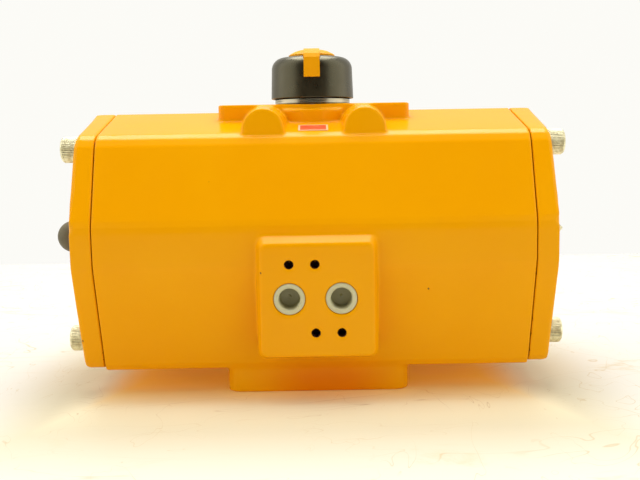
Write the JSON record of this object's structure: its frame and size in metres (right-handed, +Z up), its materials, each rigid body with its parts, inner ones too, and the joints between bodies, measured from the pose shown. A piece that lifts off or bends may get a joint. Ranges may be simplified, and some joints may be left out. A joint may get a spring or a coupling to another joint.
{
  "type": "rotary pneumatic actuator",
  "caption": "Quarter-turn rack-and-pinion pneumatic actuator with opposed pistons, a ten-sided yellow housing, end caps, a port pad and a rotary position indicator.",
  "frame": {"origin": "on the plane of the mounting foot, below the middle of the overall box; the pinion axis stands at x = 2.5 mm, y = 2.55 mm and the cylinder axis is 73.4 mm up", "axes": "+X along the cylinder bore from the left cap to the right cap, +Y from the port pad to the rear, +Z up along the pinion to the position indicator"},
  "size_m": [0.269, 0.1298, 0.169],
  "materials": {
    "body_paint": "glossy yellow-orange paint on cast aluminium",
    "dial_plastic": "satin black moulding",
    "pointer_plastic": "satin yellow moulding",
    "zinc_steel": "zinc-plated steel",
    "washer_steel": "bright turned steel",
    "spring_steel": "dark spring steel",
    "pinion_steel": "machined steel",
    "piston_alloy": "machined aluminium",
    "seal_rubber": "black nitrile rubber",
    "bearing_plastic": "natural acetal",
    "plug_plastic": "milky translucent plastic",
    "cover_plastic": "dark grey soft plastic",
    "label_red": "printed plain red sticker"
  },
  "bodies": {
    "housing": {"housing": "body_paint", "left_end_cap": "body_paint", "right_end_cap": "body_paint", "left_cap_seal": "seal_rubber", "right_cap_seal": "seal_rubber", "left_cap_bolt_front_lower": "zinc_steel", "left_cap_bolt_front_upper": "zinc_steel", "left_cap_bolt_rear_lower": "zinc_steel", "left_cap_bolt_rear_upper": "zinc_steel", "right_cap_bolt_front_lower": "zinc_steel", "right_cap_bolt_front_upper": "zinc_steel", "right_cap_bolt_rear_lower": "zinc_steel", "right_cap_bolt_rear_upper": "zinc_steel", "left_lock_nut": "zinc_steel", "lower_bushing": "bearing_plastic", "upper_bushing": "bearing_plastic", "thrust_ring": "bearing_plastic", "left_port_plug": "plug_plastic", "right_port_plug": "plug_plastic", "label": "label_red"},
    "pinion": {"pinion": "pinion_steel", "lower_pinion_seal": "seal_rubber", "upper_pinion_seal": "seal_rubber", "steel_washer": "washer_steel", "snap_ring": "spring_steel", "indicator_dial": "dial_plastic", "pointer": "pointer_plastic", "indicator_screw": "zinc_steel"},
    "left_piston": {"left_piston": "piston_alloy", "left_piston_seal": "seal_rubber", "left_guide_band": "bearing_plastic", "left_rack_shoe": "bearing_plastic"},
    "right_piston": {"right_piston": "piston_alloy", "right_piston_seal": "seal_rubber", "right_guide_band": "bearing_plastic", "right_rack_shoe": "bearing_plastic"},
    "left_stop": {"left_stop_screw": "zinc_steel", "left_screw_cover": "cover_plastic"},
    "right_stop": {"right_stop_screw": "zinc_steel"}
  },
  "joints": [
    {"name": "pinion_turn", "type": "hinge", "parent": "housing", "child": "pinion", "pos_m": [0.0025, 0.00255, 0.0734], "axis": [0, 0, 1], "range_deg": [0, 90]},
    {"name": "left_piston_slide", "type": "slide", "parent": "housing", "child": "left_piston", "axis": [-1, 0, 0], "range_m": [0, 0.0315]},
    {"name": "right_piston_slide", "type": "slide", "parent": "housing", "child": "right_piston", "axis": [1, 0, 0], "range_m": [0, 0.0315]},
    {"name": "left_stop_adjust", "type": "slide", "parent": "housing", "child": "left_stop", "axis": [-1, 0, 0], "range_m": [0, 0.003]},
    {"name": "right_stop_adjust", "type": "slide", "parent": "housing", "child": "right_stop", "axis": [1, 0, 0], "range_m": [0, 0.003]}
  ],
  "couplings": [
    {"joint": "left_piston_slide", "follows": "pinion_turn", "m_per_rad": 0.02},
    {"joint": "right_piston_slide", "follows": "pinion_turn", "m_per_rad": 0.02}
  ]
}
